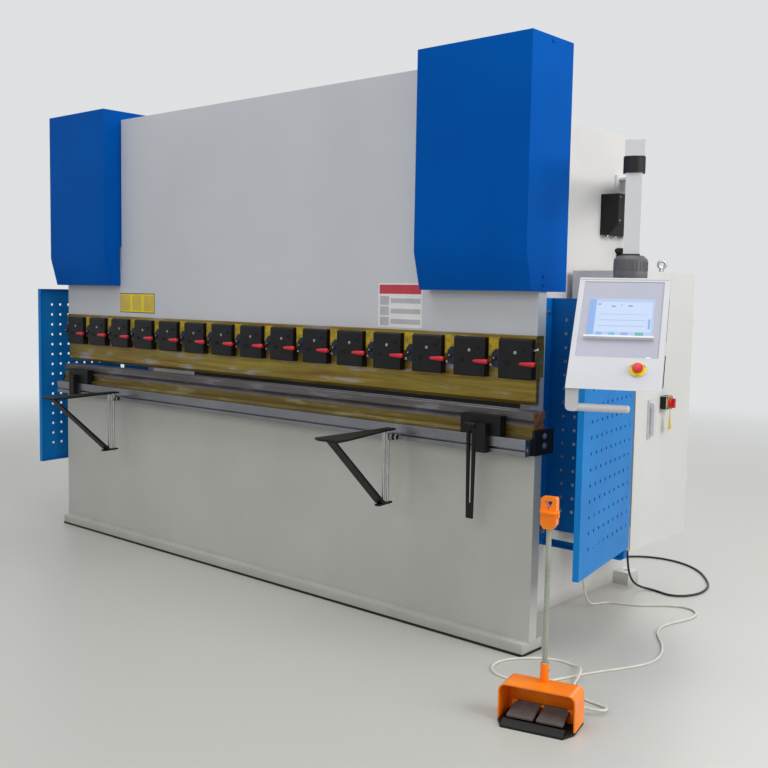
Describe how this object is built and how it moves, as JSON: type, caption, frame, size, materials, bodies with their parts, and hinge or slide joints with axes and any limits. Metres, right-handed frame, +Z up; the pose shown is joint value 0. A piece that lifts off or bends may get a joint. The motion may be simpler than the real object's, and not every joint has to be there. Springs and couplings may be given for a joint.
{
  "type": "press brake",
  "caption": "Hydraulic press brake that bends sheet metal between a punch on a moving ram and a die on its table, with side guards, a touch pendant, a foot pedal and an electrical cabinet.",
  "frame": {"origin": "on the floor under the middle of the bending line", "axes": "+X to the operator's right along the bending line, +Y to the back of the machine, +Z up"},
  "size_m": [4.0367, 2.3253, 2.309],
  "materials": {
    "bed_paint": "satin light grey paint",
    "frame_paint": "satin off-white paint",
    "ram_paint": "satin light grey paint",
    "ground_steel": "ground, oiled",
    "tool_steel": "ground and oiled, olive gold",
    "die_steel": "ground, oiled",
    "clamp_black": "blackened",
    "lever_red": "moulded red",
    "cover_blue": "gloss deep blue paint",
    "guard_blue": "gloss blue paint",
    "cylinder_grey": "machined and painted",
    "rod_chrome": "hard chrome",
    "bolt_zinc": "zinc plated",
    "support_black": "black paint",
    "bracket_chrome": "plated",
    "stop_black": "blackened steel",
    "cabinet_white": "satin off-white paint",
    "plastic_black": "moulded black",
    "switch_red": "moulded red",
    "arm_white": "satin off-white paint",
    "console_white": "satin off-white paint",
    "screen_glass": "lit pale blue",
    "pedal_orange": "gloss orange paint",
    "tread_rubber": "dark moulded rubber",
    "pole_steel": "grey enamel",
    "cable_white": "smooth sheath",
    "cable_black": "smooth sheath",
    "tank_paint": "light grey paint",
    "motor_paint": "machine blue enamel",
    "pump_iron": "cast and machined",
    "valve_steel": "machined block",
    "pipe_steel": "zinc plated",
    "gauge_steel": "grey paint",
    "screw_steel": "ground",
    "gauge_beam_paint": "dark paint",
    "finger_steel": "hardened, ground"
  },
  "bodies": {
    "machine": {"bed": "bed_paint", "worktable": "ground_steel", "die_base": "die_steel", "die": "die_steel", "side_frame_left": "frame_paint", "side_frame_right": "frame_paint", "rear_beam": "frame_paint", "ram_guides": "ground_steel", "cylinder_left": "cylinder_grey", "cylinder_right": "cylinder_grey", "cylinder_cover_left": "cover_blue", "cylinder_cover_right": "cover_blue", "fixing_bolts": "bolt_zinc", "stop_brackets": "stop_black", "guard_wing_left": "guard_blue", "guard_wing_right": "guard_blue", "cabinet": "cabinet_white", "lifting_eye": "bolt_zinc", "switch_box": "plastic_black", "pendant_bracket": "frame_paint", "pedal_hood": "pedal_orange", "pedal_pole": "pole_steel", "pedal_head": "pedal_orange", "pedal_cable": "cable_white", "power_cable": "cable_black", "cable_glands": "plastic_black", "oil_tank": "tank_paint", "pump_motor": "motor_paint", "hydraulic_pump": "pump_iron", "valve_block": "valve_steel", "pressure_pipes": "pipe_steel", "gauge_carriers": "gauge_steel"},
    "ram": {"ram": "ram_paint", "tool_bar": "tool_steel", "punch": "tool_steel", "clamp_blocks": "clamp_black", "clamp_levers": "lever_red", "piston_rods": "rod_chrome"},
    "support_carriage_left": {"support_carriage_left": "bracket_chrome"},
    "support_carriage_right": {"support_carriage_right": "bracket_chrome"},
    "support_arm_left": {"support_arm_left": "support_black"},
    "support_arm_right": {"support_arm_right": "support_black"},
    "stop_arm": {"stop_arm": "stop_black"},
    "guard_door_left": {"guard_door_left": "guard_blue"},
    "guard_door_right": {"guard_door_right": "guard_blue"},
    "cabinet_door": {"cabinet_door": "cabinet_white"},
    "door_handle": {"door_handle": "plastic_black"},
    "main_switch": {"main_switch": "switch_red"},
    "pendant_arm": {"pendant_arm": "arm_white"},
    "console": {"pendant_box": "console_white", "screen": "screen_glass", "pendant_grip": "console_white"},
    "estop_button": {"estop_button": "switch_red"},
    "pedal_left": {"pedal_left": "tread_rubber"},
    "pedal_right": {"pedal_right": "tread_rubber"},
    "gauge_beam": {"gauge_beam": "gauge_beam_paint"},
    "ball_screw_left": {"ball_screw_left": "screw_steel"},
    "ball_screw_right": {"ball_screw_right": "screw_steel"},
    "gauge_finger_left": {"gauge_finger_left": "finger_steel"},
    "gauge_finger_right": {"gauge_finger_right": "finger_steel"}
  },
  "joints": [
    {"name": "ram_slide", "type": "slide", "parent": "machine", "child": "ram", "axis": [0, 0, 1], "range_m": [-0.032, 0.118]},
    {"name": "support_slide_left", "type": "slide", "parent": "machine", "child": "support_carriage_left", "axis": [1, 0, 0], "range_m": [-0.25, 0.5]},
    {"name": "support_slide_right", "type": "slide", "parent": "machine", "child": "support_carriage_right", "axis": [1, 0, 0], "range_m": [-0.5, 0.25]},
    {"name": "support_swing_left", "type": "hinge", "parent": "support_carriage_left", "child": "support_arm_left", "pos_m": [-0.945, -0.155, 0.7], "axis": [0, 0, 1], "range_deg": [-45, 35]},
    {"name": "support_swing_right", "type": "hinge", "parent": "support_carriage_right", "child": "support_arm_right", "pos_m": [0.985, -0.155, 0.7], "axis": [0, 0, 1], "range_deg": [-45, 35]},
    {"name": "stop_arm_hinge", "type": "hinge", "parent": "machine", "child": "stop_arm", "pos_m": [1.365, -0.107, 0.87], "axis": [-1, 0, 0], "range_deg": [0, 90]},
    {"name": "guard_door_left_hinge", "type": "hinge", "parent": "machine", "child": "guard_door_left", "pos_m": [-1.8, 0.49, 0.9], "axis": [0, 0, -1], "range_deg": [-3, 97]},
    {"name": "guard_door_right_hinge", "type": "hinge", "parent": "machine", "child": "guard_door_right", "pos_m": [1.724, 0.49, 0.9], "axis": [0, 0, 1], "range_deg": [-11.6, 78]},
    {"name": "cabinet_door_hinge", "type": "hinge", "parent": "machine", "child": "cabinet_door", "pos_m": [1.665, 1.118, 0.9], "axis": [0, 0, 1], "range_deg": [0, 105]},
    {"name": "door_handle_hinge", "type": "hinge", "parent": "cabinet_door", "child": "door_handle", "pos_m": [1.68, 0.723, 0.915], "axis": [-1, 0, 0], "range_deg": [0, 90]},
    {"name": "main_switch_hinge", "type": "hinge", "parent": "cabinet_door", "child": "main_switch", "pos_m": [1.7, 0.845, 0.919], "axis": [1, 0, 0], "range_deg": [0, 90]},
    {"name": "pendant_swing", "type": "hinge", "parent": "machine", "child": "pendant_arm", "pos_m": [1.39978, 1.03968, 1.87], "axis": [0, 0, 1], "range_deg": [-8, 60]},
    {"name": "console_swivel", "type": "hinge", "parent": "pendant_arm", "child": "console", "pos_m": [1.967, -0.028, 1.42], "axis": [0, 0, 1], "range_deg": [-4, 60]},
    {"name": "estop_press", "type": "slide", "parent": "console", "child": "estop_button", "axis": [-0.3079, 0.7254, -0.6157], "range_m": [0, 0.004], "stiffness_N_per_m": 900, "springref_m": -0.003},
    {"name": "pedal_left_press", "type": "hinge", "parent": "machine", "child": "pedal_left", "pos_m": [1.91226, -0.50124, 0.043], "axis": [0.9659, 0.2588, 0], "range_deg": [0, 8], "stiffness_Nm_per_rad": 25, "springref_deg": -6.88},
    {"name": "pedal_right_press", "type": "hinge", "parent": "machine", "child": "pedal_right", "pos_m": [2.00692, -0.47587, 0.043], "axis": [0.9659, 0.2588, 0], "range_deg": [0, 8], "stiffness_Nm_per_rad": 25, "springref_deg": -6.88},
    {"name": "gauge_slide", "type": "slide", "parent": "machine", "child": "gauge_beam", "axis": [0, 1, 0], "range_m": [-0.2, 0.25]},
    {"name": "ball_screw_left_spin", "type": "hinge", "parent": "machine", "child": "ball_screw_left", "pos_m": [-1.2, 0.6, 0.838], "axis": [0, 1, 0], "range_deg": [-4600, 3700]},
    {"name": "ball_screw_right_spin", "type": "hinge", "parent": "machine", "child": "ball_screw_right", "pos_m": [1.2, 0.6, 0.838], "axis": [0, 1, 0], "range_deg": [-4600, 3700]},
    {"name": "gauge_finger_left_slide", "type": "slide", "parent": "gauge_beam", "child": "gauge_finger_left", "axis": [1, 0, 0], "range_m": [-0.4, 0.35]},
    {"name": "gauge_finger_right_slide", "type": "slide", "parent": "gauge_beam", "child": "gauge_finger_right", "axis": [1, 0, 0], "range_m": [-0.35, 0.4]}
  ],
  "couplings": [
    {"joint": "ball_screw_left_spin", "follows": "gauge_slide", "rad_per_m": -314.16},
    {"joint": "ball_screw_right_spin", "follows": "gauge_slide", "rad_per_m": -314.16}
  ]
}
